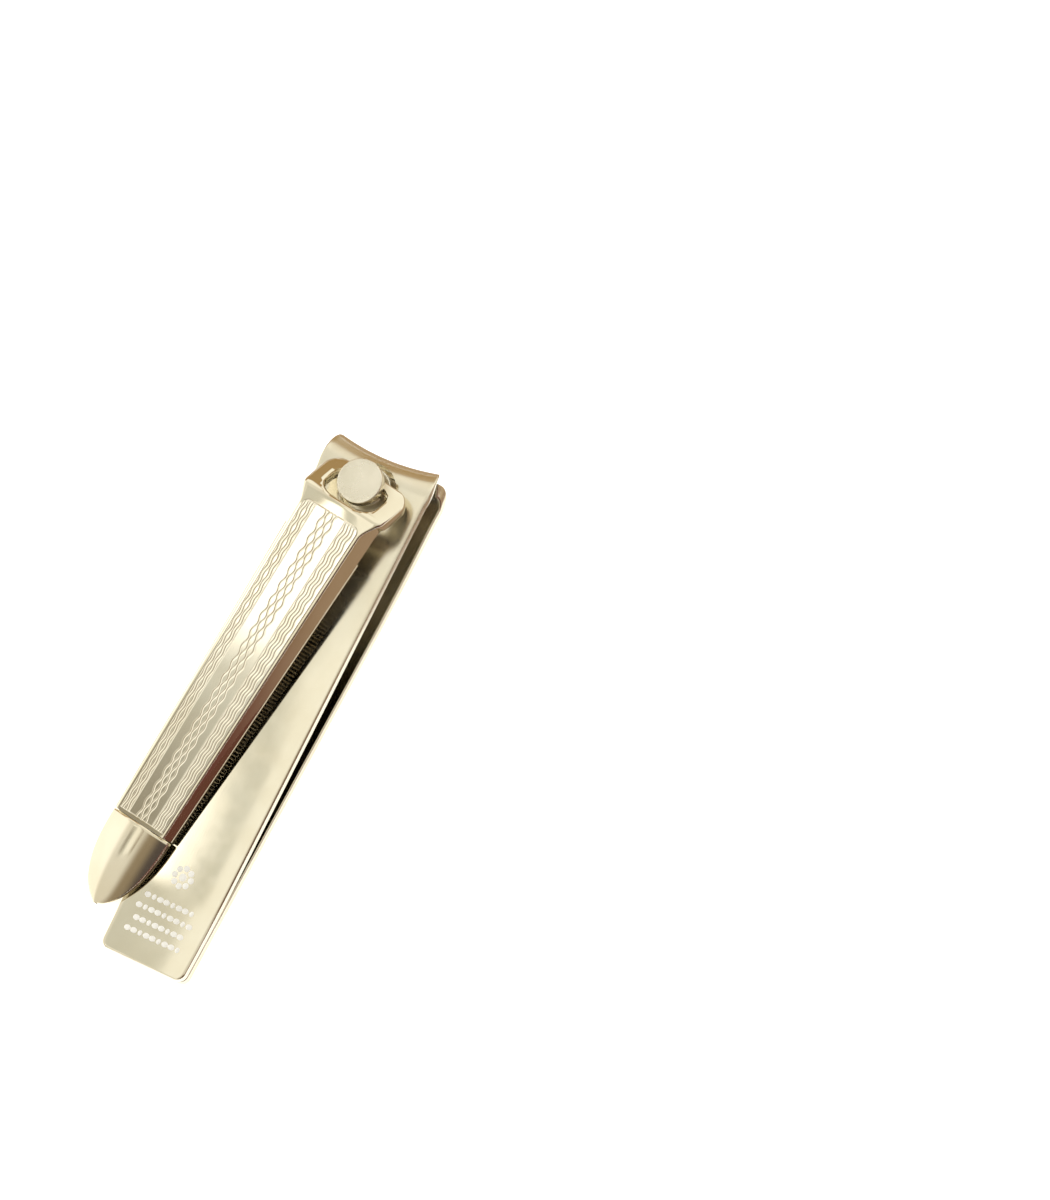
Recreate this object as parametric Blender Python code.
"""Small fingernail clipper: two sprung jaws, a collar-button pin and a swivelling lever with a file.

Metres, +Z up, +X towards the jaws. The origin is the middle of the flat underside the clipper lies on.
"""

import bmesh
import bpy
from math import atan, cos, pi, radians, sin, sqrt
from mathutils import Matrix, Vector

MM = 0.001

# Body: two tapered strips joined at the tail.
TAIL_X = -20.0 * MM
JOINT_X = -13.2 * MM          # the strips part here, and the upper one bends from here
FLAT_END_X = 19.6 * MM        # the lower strip lies flat up to here
BEND_END_X = 29.6 * MM        # from here both strips run parallel
PIN_X = 33.6 * MM             # where the pin crosses the upper strip's top
FRONT_X = 37.5 * MM           # middle of the cutting edges
STRIP_THICKNESS = 1.15 * MM
STRIP_GAP = 0.05 * MM         # film between the strips at the tail
RISE = 0.0977                 # slope of the upper strip
TAIL_HALF_WIDTH = 4.85 * MM
JAW_HALF_WIDTH = 6.4 * MM
TAIL_CORNER = 0.9 * MM
JAW_CORNER = 0.9 * MM
EDGE_RADIUS = 25.0 * MM       # the cutting edges are hollow in plan
HOLLOW_START_X = 34.5 * MM    # the hollow starts to shape the strip here
UPPER_BEND_LENGTH = 2.7 * MM  # each jaw's end is bent along a quarter of an ellipse
LOWER_BEND_LENGTH = 2.1 * MM
JAW_BEND_DEPTH = 1.9 * MM
MOUTH = 1.0 * MM              # gap between the cutting edges at rest
CUT_EDGE = 0.16 * MM          # thickness left at a cutting edge
STRIP_ROWS = 10

# Holes for the pin.
UPPER_HOLE_RADIUS = 2.95 * MM
LOWER_HOLE_RADIUS = 2.6 * MM

# Tail rivet, flush below and blind above.
RIVET_X = -16.6 * MM
RIVET_RADIUS = 1.2 * MM
RIVET_CLEARANCE = 0.1 * MM
RIVET_COVER = 0.35 * MM       # metal left over the rivet's blind end

# Pin: foot, shank, notched neck and head, measured from the upper strip's top.
HEAD_RADIUS = 2.42 * MM
HEAD_TOP = 3.3 * MM
HEAD_BOTTOM = 2.2 * MM
SHANK_RADIUS = 2.45 * MM
SHANK_TOP = 0.05 * MM
NECK_RADIUS = 1.7 * MM
NOTCH_FACE_X = -0.2 * MM      # the neck is cut back to here to take the lever's bar
FOOT_RADIUS = 3.2 * MM
FOOT_THICKNESS = 0.6 * MM
FOOT_GAP = 0.05 * MM
PIN_CHAMFER = 0.12 * MM

# Lever, in the pin's frame: +X forward, Z along the pin from the upper strip's top.
LEVER_SWIVEL = radians(-8.3)  # the lever is left turned a little to the clipper's left
LEVER_SLOPE = 0.046           # the lever comes down towards its tip
LEVER_LOW_AT_PIN = 2.75 * MM  # the lever's underside, carried forward to the pin
LEVER_FRONT_HEIGHT = 2.0 * MM
LEVER_BACK_HEIGHT = 1.35 * MM
LEVER_FRONT_FOOT = 4.75 * MM  # half widths of the flanged body at its foot and top
LEVER_BACK_FOOT = 3.65 * MM
LEVER_FRONT_TOP = 3.8 * MM
LEVER_BACK_TOP = 3.1 * MM
FLANGE_FULL_X = -5.3 * MM     # the side flanges are whole up to here
FLANGE_END_X = -2.6 * MM      # and have run into the ring by here
PANEL_FRONT_X = -4.3 * MM
BODY_BACK_X = -41.4 * MM      # the body ends here and the pointed cap begins
TIP_X = -50.7 * MM
SHEET = 0.5 * MM              # wall left beside the hollow of the body
ROOF = 0.85 * MM              # and above it
FIT = 0.06 * MM               # film between pieces that rest on each other

# Ring at the lever's front, bent down round the pin.
BAR_X = 0.75 * MM             # the crossbar in the pin's notch, on which the lever tips
BAR_Z = 1.15 * MM
RING_SLOPE = radians(-38.0)
RING_THICKNESS = 1.25 * MM
RING_BEND_RADIUS = 2.2 * MM
RING_HALF_WIDTH = 5.1 * MM
RING_CORNER = 2.1 * MM
RING_SHIFT = -0.25 * MM       # the ring was bent a little to the right of the lever's middle
OPENING_HALF_WIDTH = 3.5 * MM
OPENING_FRONT = 0.6 * MM      # from the bar's axis to the opening, along the ring
OPENING_BACK = 4.6 * MM
OPENING_CORNER = 1.7 * MM

# Engine-turned panel let into the top, file let into the underside, pointed cap.
PANEL_THICKNESS = 0.3 * MM
PANEL_PROUD = 0.06 * MM
PANEL_MARGIN = 0.3 * MM
FILE_FRONT_X = -7.5 * MM
FILE_TONGUE_X = -48.5 * MM    # the file runs on as a tongue inside the cap
FILE_THICKNESS = 0.4 * MM
CAP_HEIGHT = 1.6 * MM
CAP_EDGE = 0.2 * MM           # height left at the very tip
CAP_WALL = 0.35 * MM
TIP_BLUNT = 0.06              # share of the cap's width left at the very tip
PLAN_POWER = 2.6              # how full the cap's plan, its keel and its cross-section are
PLAN_ROUND = 0.7
KEEL_POWER = 3
HULL_POWER = 0.75


def clear_scene():
    for obj in list(bpy.data.objects):
        bpy.data.objects.remove(obj, do_unlink=True)


def make_material(name, color, metallic, roughness):
    material = bpy.data.materials.new(name)
    material.use_nodes = True
    shader = material.node_tree.nodes["Principled BSDF"]
    shader.inputs["Base Color"].default_value = (*color, 1.0)
    shader.inputs["Metallic"].default_value = metallic
    shader.inputs["Roughness"].default_value = roughness
    return material


def strip_material():
    return make_material("warm_nickel_plate", (0.69, 0.63, 0.50), 1.0, 0.14)


def panel_material():
    return make_material("engine_turned_plate", (0.74, 0.70, 0.62), 1.0, 0.20)


def pin_material():
    return make_material("satin_nickel", (0.66, 0.61, 0.50), 1.0, 0.32)


def file_material():
    return make_material("file_steel", (0.42, 0.41, 0.39), 1.0, 0.40)


def object_from(name, bm, material, parent=None):
    bmesh.ops.remove_doubles(bm, verts=bm.verts, dist=1e-7)
    bmesh.ops.recalc_face_normals(bm, faces=bm.faces)
    mesh = bpy.data.meshes.new(name)
    bm.to_mesh(mesh)
    bm.free()
    obj = bpy.data.objects.new(name, mesh)
    bpy.context.scene.collection.objects.link(obj)
    if material is not None:
        mesh.materials.append(material)
    mesh.shade_smooth()
    mesh.set_sharp_from_angle(angle=radians(35))
    if parent is not None:
        obj.parent = parent
    return obj


def make_cutter(name, bm, parent=None):
    cutter = object_from(name, bm, None, parent)
    cutter.hide_render = True
    cutter.display_type = "WIRE"
    return cutter


def cut(obj, cutter):
    boolean = obj.modifiers.new(cutter.name, "BOOLEAN")
    boolean.operation = "DIFFERENCE"
    boolean.object = cutter


def grid_solid(upper, lower):
    """A closed plate between two grids of points, upper[i][j] and lower[i][j]."""
    bm = bmesh.new()
    top = [[bm.verts.new(point) for point in row] for row in upper]
    low = [[bm.verts.new(point) for point in row] for row in lower]
    rows = len(top)
    columns = len(top[0])
    for i in range(rows - 1):
        for j in range(columns - 1):
            bm.faces.new((top[i][j], top[i + 1][j], top[i + 1][j + 1], top[i][j + 1]))
            bm.faces.new((low[i][j], low[i][j + 1], low[i + 1][j + 1], low[i + 1][j]))
    for i in range(rows - 1):
        bm.faces.new((top[i][0], low[i][0], low[i + 1][0], top[i + 1][0]))
        bm.faces.new((top[i][-1], top[i + 1][-1], low[i + 1][-1], low[i][-1]))
    for j in range(columns - 1):
        bm.faces.new((top[0][j], top[0][j + 1], low[0][j + 1], low[0][j]))
        bm.faces.new((top[-1][j], low[-1][j], low[-1][j + 1], top[-1][j + 1]))
    return bm


def ring_loop(bm, radius, z, steps):
    return [
        bm.verts.new((radius * cos(2 * pi * k / steps), radius * sin(2 * pi * k / steps), z))
        for k in range(steps)
    ]


def turned(profile, steps=48):
    """A solid turned about Z from (radius, height) points listed from top to bottom."""
    bm = bmesh.new()
    loops = [ring_loop(bm, radius, z, steps) for radius, z in profile]
    for first, second in zip(loops, loops[1:]):
        for k in range(steps):
            bm.faces.new((first[k], second[k], second[(k + 1) % steps], first[(k + 1) % steps]))
    bm.faces.new(loops[0])
    bm.faces.new(loops[-1][::-1])
    return bm


def prism(outline, z_low, z_high):
    """A straight prism over a plan outline."""
    bm = bmesh.new()
    low = [bm.verts.new((x, y, z_low)) for x, y in outline]
    high = [bm.verts.new((x, y, z_high)) for x, y in outline]
    count = len(outline)
    for k in range(count):
        bm.faces.new((low[k], low[(k + 1) % count], high[(k + 1) % count], high[k]))
    bm.faces.new(low[::-1])
    bm.faces.new(high)
    return bm


# ---------------------------------------------------------------- body strips


def strip_half_width(x):
    """Half the strips' width at x, with the tail's corners rounded."""
    share = (x - TAIL_X) / (FRONT_X - TAIL_X)
    half = TAIL_HALF_WIDTH + (JAW_HALF_WIDTH - TAIL_HALF_WIDTH) * share
    into = x - TAIL_X
    if into < TAIL_CORNER:
        half -= TAIL_CORNER - sqrt(max(0.0, TAIL_CORNER**2 - (TAIL_CORNER - into) ** 2))
    return half


def hollow(x, y):
    """How far forward the hollow cutting edge carries a point of the jaws."""
    share = min(1.0, max(0.0, (x - HOLLOW_START_X) / (FRONT_X - HOLLOW_START_X)))
    return share * y * y / (2 * EDGE_RADIUS)


def strip_rows(x, half, z):
    rows = []
    for k in range(STRIP_ROWS + 1):
        y = half * (2 * k / STRIP_ROWS - 1)
        rows.append(Vector((x + hollow(x, y), y, z)))
    return rows


def tail_stations():
    corner = [TAIL_X + TAIL_CORNER * (1 - cos(radians(a))) for a in (0, 25, 50, 70, 90)]
    steps = 5
    return corner + [
        corner[-1] + (JOINT_X - corner[-1]) * k / steps for k in range(1, steps + 1)
    ]


def lower_profile_z(x):
    """Underside of the lower strip: flat, then eased up to the common slope."""
    if x <= FLAT_END_X:
        return 0.0
    length = BEND_END_X - FLAT_END_X
    reach = min(x, BEND_END_X) - FLAT_END_X
    z = RISE * reach * reach / (2 * length)
    if x > BEND_END_X:
        z += RISE * (x - BEND_END_X)
    return z


def upper_profile_z(x):
    """Top of the upper strip: level over the joint, then rising straight to the jaws."""
    top = 2 * STRIP_THICKNESS + STRIP_GAP
    if x > JOINT_X:
        top += RISE * (x - JOINT_X)
    return top


def jaw_lip(z_start, turn, length, reach):
    """Outer and inner points of a jaw's bent end.

    The strip turns through a quarter of an ellipse to the cutting edge: turn is +1 for the lower jaw, which
    bends up, and -1 for the upper one. reach is the height of the lip from the strip's outer face.
    """
    points = []
    x_start = FRONT_X - length
    inner_length = length - STRIP_THICKNESS
    inner_depth = JAW_BEND_DEPTH - STRIP_THICKNESS
    steps = 6
    for k in range(steps + 1):
        angle = pi / 2 * k / steps
        outer = (x_start + length * sin(angle), z_start + turn * JAW_BEND_DEPTH * (1 - cos(angle)))
        inner_z = z_start + turn * (STRIP_THICKNESS + inner_depth * (1 - cos(angle)))
        points.append((outer, (x_start + inner_length * sin(angle), inner_z)))
    edge_z = z_start + turn * reach
    points.append(((FRONT_X, edge_z), (FRONT_X - CUT_EDGE, edge_z)))
    return points


def tilt_about(point, origin, slope):
    """Turns an (x, z) point about origin so that a level line rises with slope."""
    angle = atan(slope)
    dx = point[0] - origin[0]
    dz = point[1] - origin[1]
    return (origin[0] + dx * cos(angle) - dz * sin(angle), origin[1] + dx * sin(angle) + dz * cos(angle))


def jaw_strip(name, stations, lip, lip_origin, material):
    """One strip from its straight stations (x, outer z, inner z) and its bent lip."""
    outer_rows = []
    inner_rows = []
    for x, outer_z, inner_z in stations:
        half = strip_half_width(x)
        outer_rows.append(strip_rows(x, half, outer_z))
        inner_rows.append(strip_rows(x, half, inner_z))
    for k, (outer, inner) in enumerate(lip):
        outer = tilt_about(outer, lip_origin, RISE)
        inner = tilt_about(inner, lip_origin, RISE)
        corner = JAW_CORNER * (k / (len(lip) - 1)) ** 2
        half = JAW_HALF_WIDTH - corner
        outer_rows.append(strip_rows(outer[0], half, outer[1]))
        inner_rows.append(strip_rows(inner[0], half, inner[1]))
    return object_from(name, grid_solid(outer_rows, inner_rows), material)


def lip_reach():
    """Height of each jaw's lip, so that the mouth stays open by MOUTH."""
    x = FRONT_X - LOWER_BEND_LENGTH
    whole = (upper_profile_z(x) - lower_profile_z(x)) * cos(atan(RISE))
    return (whole - MOUTH) / 2


def add_lower_jaw(material):
    flat = tail_stations() + [JOINT_X + (FLAT_END_X - JOINT_X) * k / 4 for k in range(1, 5)]
    bend = [FLAT_END_X + (BEND_END_X - FLAT_END_X) * k / 6 for k in range(1, 7)]
    lip_x = FRONT_X - LOWER_BEND_LENGTH
    bridge = [BEND_END_X + (lip_x - BEND_END_X) * k / 3 for k in range(1, 3)]
    outer = [(x, lower_profile_z(x)) for x in flat + bend + bridge]
    stations = [(x, z, z + STRIP_THICKNESS) for x, z in outer]
    start = (lip_x, lower_profile_z(lip_x))
    lip = jaw_lip(start[1], 1, LOWER_BEND_LENGTH, lip_reach())
    jaw = jaw_strip("lower_jaw", stations, lip, start, material)
    cut(jaw, pin_hole_cutter("lower_pin_hole", LOWER_HOLE_RADIUS, -8 * MM, -4 * MM))
    cut(jaw, rivet_cutter("lower_rivet_hole", -1 * MM, STRIP_THICKNESS + STRIP_GAP / 2))
    return jaw


def add_upper_jaw(material):
    count = 12
    lip_x = FRONT_X - UPPER_BEND_LENGTH
    rise = [JOINT_X + (lip_x - JOINT_X) * k / count for k in range(1, count)]
    outer = [(x, upper_profile_z(x)) for x in tail_stations() + rise]
    stations = [(x, z, z - STRIP_THICKNESS) for x, z in outer]
    start = (lip_x, upper_profile_z(lip_x))
    lip = jaw_lip(start[1], -1, UPPER_BEND_LENGTH, lip_reach())
    jaw = jaw_strip("upper_jaw", stations, lip, start, material)
    cut(jaw, pin_hole_cutter("upper_pin_hole", UPPER_HOLE_RADIUS, -3 * MM, 2 * MM))
    blind_top = 2 * STRIP_THICKNESS + STRIP_GAP - RIVET_COVER
    cut(jaw, rivet_cutter("upper_rivet_hole", STRIP_THICKNESS + STRIP_GAP / 2, blind_top))
    return jaw


def pin_hole_cutter(name, radius, z_low, z_high):
    bm = turned([(radius, z_high), (radius, z_low)])
    return make_cutter(name, bm, bpy.data.objects["pin_axis"])


def rivet_cutter(name, z_low, z_high):
    radius = RIVET_RADIUS + RIVET_CLEARANCE
    cutter = make_cutter(name, turned([(radius, z_high), (radius, z_low)], 32))
    cutter.location.x = RIVET_X
    return cutter


def add_tail_rivet(material):
    top = 2 * STRIP_THICKNESS + STRIP_GAP - RIVET_COVER - RIVET_CLEARANCE
    rivet = object_from("tail_rivet", turned([(RIVET_RADIUS, top), (RIVET_RADIUS, 0.0)], 32), material)
    rivet.location.x = RIVET_X
    return rivet


# ---------------------------------------------------------------- pin


def add_pin_axis():
    """An empty on the pin's axis, at the upper strip's top, square to the strips."""
    axis = bpy.data.objects.new("pin_axis", None)
    axis.location = (PIN_X, 0, upper_profile_z(PIN_X))
    axis.rotation_euler.y = -atan(RISE)
    bpy.context.scene.collection.objects.link(axis)
    return axis


def foot_level():
    """Height of the lower strip's underside at the pin, along the pin's axis."""
    across = (upper_profile_z(PIN_X) - lower_profile_z(PIN_X)) * cos(atan(RISE))
    return -across


def add_pin(axis, lever_axis, material):
    foot_top = foot_level() - FOOT_GAP
    chamfer = PIN_CHAMFER
    profile = [
        (HEAD_RADIUS - chamfer, HEAD_TOP),
        (HEAD_RADIUS, HEAD_TOP - chamfer),
        (HEAD_RADIUS, HEAD_BOTTOM),
        (NECK_RADIUS, HEAD_BOTTOM),
        (NECK_RADIUS, SHANK_TOP),
        (SHANK_RADIUS, SHANK_TOP),
        (SHANK_RADIUS, foot_top),
        (FOOT_RADIUS, foot_top),
        (FOOT_RADIUS, foot_top - FOOT_THICKNESS + chamfer),
        (FOOT_RADIUS - chamfer, foot_top - FOOT_THICKNESS),
    ]
    pin = object_from("pivot_pin", turned(profile), material, axis)
    notch = bmesh.new()
    bmesh.ops.create_cube(notch, size=1.0)
    depth = 2 * NECK_RADIUS
    height = HEAD_BOTTOM - SHANK_TOP
    notch.transform(
        Matrix.Translation((NOTCH_FACE_X + depth / 2, 0, (HEAD_BOTTOM + SHANK_TOP) / 2))
        @ Matrix.Diagonal((depth, 4 * NECK_RADIUS, height, 1))
    )
    # The notch faces the lever, as the two swivel together.
    cut(pin, make_cutter("pin_notch", notch, lever_axis))
    return pin


# ---------------------------------------------------------------- lever


def add_lever_axis(pin_axis):
    """The lever's empty: the pin's frame turned by the lever's swivel."""
    axis = bpy.data.objects.new("lever_axis", None)
    axis.parent = pin_axis
    axis.rotation_euler.z = LEVER_SWIVEL
    bpy.context.scene.collection.objects.link(axis)
    return axis


def lever_share(x):
    """0 at the panel's front, 1 at the body's back end."""
    return (PANEL_FRONT_X - x) / (PANEL_FRONT_X - BODY_BACK_X)


def lever_low(x):
    return LEVER_LOW_AT_PIN + LEVER_SLOPE * x


def lever_height(x):
    return LEVER_FRONT_HEIGHT + (LEVER_BACK_HEIGHT - LEVER_FRONT_HEIGHT) * lever_share(x)


def foot_half(x):
    """Half the lever's width at the foot of its flanges."""
    return LEVER_FRONT_FOOT + (LEVER_BACK_FOOT - LEVER_FRONT_FOOT) * lever_share(x)


def top_half(x):
    """Half the width of the lever's flat top."""
    return LEVER_FRONT_TOP + (LEVER_BACK_TOP - LEVER_FRONT_TOP) * lever_share(x)


def flange_slant(x):
    """How far the flanges lean in for each unit of height."""
    return (foot_half(x) - top_half(x)) / lever_height(x)


def tip_half(x, half):
    """Half the width of a pointed tip that is half wide where the body ends: an ogive."""
    share = min(1.0, max(0.0, (BODY_BACK_X - x) / (BODY_BACK_X - TIP_X)))
    return half * max(TIP_BLUNT, (1 - share**PLAN_POWER) ** PLAN_ROUND)


def smooth_step(value):
    value = min(1.0, max(0.0, value))
    return value * value * (3 - 2 * value)


def top_line():
    """Start, corner and end of the lever's top in side view, as vectors (x, z)."""
    slope_per_length = (LEVER_BACK_HEIGHT - LEVER_FRONT_HEIGHT) / (PANEL_FRONT_X - BODY_BACK_X)
    rise = LEVER_SLOPE - slope_per_length
    start = Vector((BODY_BACK_X, lever_low(BODY_BACK_X) + LEVER_BACK_HEIGHT))
    ring_direction = Vector((cos(RING_SLOPE), sin(RING_SLOPE)))
    ring_up = Vector((-ring_direction.y, ring_direction.x))
    end = Vector((BAR_X, BAR_Z)) + (ring_direction + ring_up) * (RING_THICKNESS / 2)
    # The straight top meets the ring's top plane at the corner.
    reach = (start - end).dot(Vector((rise, -1.0))) / ring_direction.dot(Vector((rise, -1.0)))
    return start, end + ring_direction * reach, end


def lever_stations():
    """Stations (x, z, angle of the top) from the body's back end to the ring's end."""
    start, corner, end = top_line()
    run = (corner - start).normalized()
    ring = (end - corner).normalized()
    slope = atan(run.y / run.x)
    turn = slope - RING_SLOPE
    setback = RING_BEND_RADIUS * sin(turn / 2) / cos(turn / 2)
    arc_start = corner - run * setback
    centre = arc_start + Vector((run.y, -run.x)) * RING_BEND_RADIUS
    stations = []
    xs = [BODY_BACK_X + (FLANGE_FULL_X - BODY_BACK_X) * k / 6 for k in range(7)]
    xs += [FLANGE_FULL_X + (arc_start.x - FLANGE_FULL_X) * k / 3 for k in range(1, 3)]
    for x in xs:
        stations.append((x, start.y + (x - start.x) * run.y / run.x, slope))
    arc_steps = 6
    for k in range(arc_steps + 1):
        angle = slope - turn * k / arc_steps
        stations.append(
            (centre.x - sin(angle) * RING_BEND_RADIUS, centre.y + cos(angle) * RING_BEND_RADIUS, angle)
        )
    arc_end = Vector(stations[-1][:2])
    steps = 12
    for k in range(1, steps + 1):
        point = arc_end + (end - arc_end) * sin(pi / 2 * k / steps)
        stations.append((point.x, point.y, RING_SLOPE))
    return stations


def lever_section(x, left):
    """Half widths at foot and top, thickness and sideways shift at x; left is the length left to the end."""
    ringward = smooth_step((x - FLANGE_FULL_X) / (FLANGE_END_X - FLANGE_FULL_X))
    flare = smooth_step((x - FLANGE_FULL_X) / (BAR_X - RING_CORNER - FLANGE_FULL_X))
    wide = foot_half(min(x, FLANGE_FULL_X))
    wide += (RING_HALF_WIDTH - wide) * flare
    if left < RING_CORNER:
        wide -= RING_CORNER - sqrt(max(0.0, RING_CORNER**2 - (RING_CORNER - left) ** 2))
    top = top_half(min(x, FLANGE_FULL_X))
    top += (wide - top) * ringward
    thick = lever_height(min(x, FLANGE_FULL_X))
    thick += (RING_THICKNESS - thick) * ringward
    return wide, top, thick, RING_SHIFT * flare


def add_lever_body(axis, material):
    columns = 12
    stations = lever_stations()
    end = Vector(stations[-1][:2])
    upper = []
    lower = []
    for x, z, angle in stations:
        foot, top, thick, shift = lever_section(x, (Vector((x, z)) - end).length)
        normal = Vector((-sin(angle), 0, cos(angle))) * thick
        shares = [2 * k / columns - 1 for k in range(columns + 1)]
        upper.append([Vector((x, top * share + shift, z)) for share in shares])
        lower.append([Vector((x, foot * share + shift, z)) - normal for share in shares])
    body = object_from("lever_body", grid_solid(upper, lower), material, axis)
    cut(body, opening_cutter(axis))
    cut(body, hollow_cutter(axis))
    cut(body, panel_pocket_cutter(axis))
    return body


def rounded_rectangle(x_low, x_high, half_width, radius, steps=6):
    centres = [
        (x_high - radius, half_width - radius, 0),
        (x_low + radius, half_width - radius, 90),
        (x_low + radius, radius - half_width, 180),
        (x_high - radius, radius - half_width, 270),
    ]
    outline = []
    for cx, cy, start in centres:
        for k in range(steps + 1):
            angle = radians(start + 90 * k / steps)
            outline.append((cx + radius * cos(angle), cy + radius * sin(angle)))
    return outline


def opening_cutter(axis):
    outline = rounded_rectangle(-OPENING_BACK, -OPENING_FRONT, OPENING_HALF_WIDTH, OPENING_CORNER)
    cutter = make_cutter("ring_opening", prism(outline, -4 * MM, 4 * MM), axis)
    cutter.location = (BAR_X, RING_SHIFT / 2, BAR_Z)
    cutter.rotation_euler.y = -RING_SLOPE
    return cutter


def box_between(sections):
    """A closed solid through rings of four corners: x, half width below and above, z below and above."""
    bm = bmesh.new()
    rings = []
    for x, low_half, high_half, z_low, z_high in sections:
        corners = ((low_half, z_low), (high_half, z_high), (-high_half, z_high), (-low_half, z_low))
        rings.append([bm.verts.new((x, y, z)) for y, z in corners])
    for first, second in zip(rings, rings[1:]):
        for k in range(4):
            bm.faces.new((first[k], first[(k + 1) % 4], second[(k + 1) % 4], second[k]))
    bm.faces.new(rings[0])
    bm.faces.new(rings[-1])
    return bm


def hollow_cutter(axis):
    """The space inside the flanges, open below and at the back."""
    below = 0.3 * MM
    sections = []
    for x in (FILE_FRONT_X, BODY_BACK_X - 1 * MM):
        low = lever_low(x)
        depth = lever_height(x) - ROOF
        half = foot_half(x) - SHEET
        slant = flange_slant(x)
        sections.append((x, half + slant * below, half - slant * depth, low - below, low + depth))
    return make_cutter("lever_hollow", box_between(sections), axis)


def panel_sections(margin, low_offset, high_offset):
    sections = []
    for x in (PANEL_FRONT_X - margin, BODY_BACK_X + PANEL_MARGIN + margin):
        start, corner, _ = top_line()
        z = start.y + (x - start.x) * (corner.y - start.y) / (corner.x - start.x)
        half = top_half(x) - PANEL_MARGIN - margin
        sections.append((x, half, half, z + low_offset, z + high_offset))
    return sections


def panel_pocket_cutter(axis):
    depth = PANEL_THICKNESS - PANEL_PROUD + FIT
    return make_cutter("panel_pocket", box_between(panel_sections(0.0, -depth, 1 * MM)), axis)


def add_lever_panel(axis, material):
    """The engine-turned panel, a thin plate standing a little proud of the lever's top."""
    sections = panel_sections(FIT, PANEL_PROUD - PANEL_THICKNESS, PANEL_PROUD)
    return object_from("lever_panel", box_between(sections), material, axis)


def add_nail_file(axis, material):
    """A thin steel strip closing the lever's underside, with a pointed tongue in the cap."""
    xs = [FILE_FRONT_X - FIT, BODY_BACK_X, BODY_BACK_X - 0.2 * MM]
    xs += [BODY_BACK_X + (FILE_TONGUE_X - BODY_BACK_X) * k / 6 for k in range(1, 7)]
    sections = []
    for x in xs:
        if x >= BODY_BACK_X:
            half = foot_half(x) - SHEET - FIT
        else:
            half = tip_half(x, LEVER_BACK_FOOT - CAP_WALL - FIT) - CAP_WALL
        low = lever_low(x)
        sections.append((x, half, half - flange_slant(x) * FILE_THICKNESS, low, low + FILE_THICKNESS))
    return object_from("nail_file", box_between(sections), material, axis)


def hull_rows(bm, xs):
    """Arcs of an upturned hull across the lever at each x."""
    columns = 10
    rows = []
    for x in xs:
        share = max(0.0, (BODY_BACK_X - x) / (BODY_BACK_X - TIP_X))
        half = tip_half(x, LEVER_BACK_FOOT)
        height = CAP_EDGE + (CAP_HEIGHT - CAP_EDGE) * (1 - share**KEEL_POWER)
        row = []
        for k in range(columns + 1):
            angle = pi * k / columns
            row.append(bm.verts.new((x, half * cos(angle), lever_low(x) + height * sin(angle) ** HULL_POWER)))
        rows.append(row)
    return rows


def close_hull(bm, rows):
    """Skins the arcs, their two ends and their flat underside into one closed solid."""
    for first, second in zip(rows, rows[1:]):
        for k in range(len(first) - 1):
            bm.faces.new((first[k], first[k + 1], second[k + 1], second[k]))
        bm.faces.new((first[0], second[0], second[-1], first[-1]))
    bm.faces.new(rows[0])
    bm.faces.new(rows[-1])


def add_lever_tip(axis, material):
    """The pointed cap: an upturned hull with a socket for the file's tongue."""
    bm = bmesh.new()
    start = BODY_BACK_X - FIT
    steps = 12
    xs = [start + (TIP_X - start) * sin(pi / 2 * k / steps) for k in range(steps + 1)]
    close_hull(bm, hull_rows(bm, xs))
    tip = object_from("lever_tip", bm, material, axis)
    sections = []
    for k in range(-1, 8):
        x = BODY_BACK_X + (FILE_TONGUE_X - 0.3 * MM - BODY_BACK_X) * k / 7
        half = tip_half(min(x, BODY_BACK_X), LEVER_BACK_FOOT - CAP_WALL - FIT) - CAP_WALL + 2 * FIT
        low = lever_low(x)
        sections.append((x, half, half, low - 0.5 * MM, low + FILE_THICKNESS + FIT))
    cut(tip, make_cutter("cap_socket", box_between(sections), axis))
    return tip


def build():
    clear_scene()
    plate = strip_material()
    pin_axis = add_pin_axis()
    lever_axis = add_lever_axis(pin_axis)
    add_lower_jaw(plate)
    add_upper_jaw(plate)
    add_tail_rivet(plate)
    add_pin(pin_axis, lever_axis, pin_material())
    add_lever_body(lever_axis, plate)
    add_lever_panel(lever_axis, panel_material())
    add_nail_file(lever_axis, file_material())
    add_lever_tip(lever_axis, plate)


build()
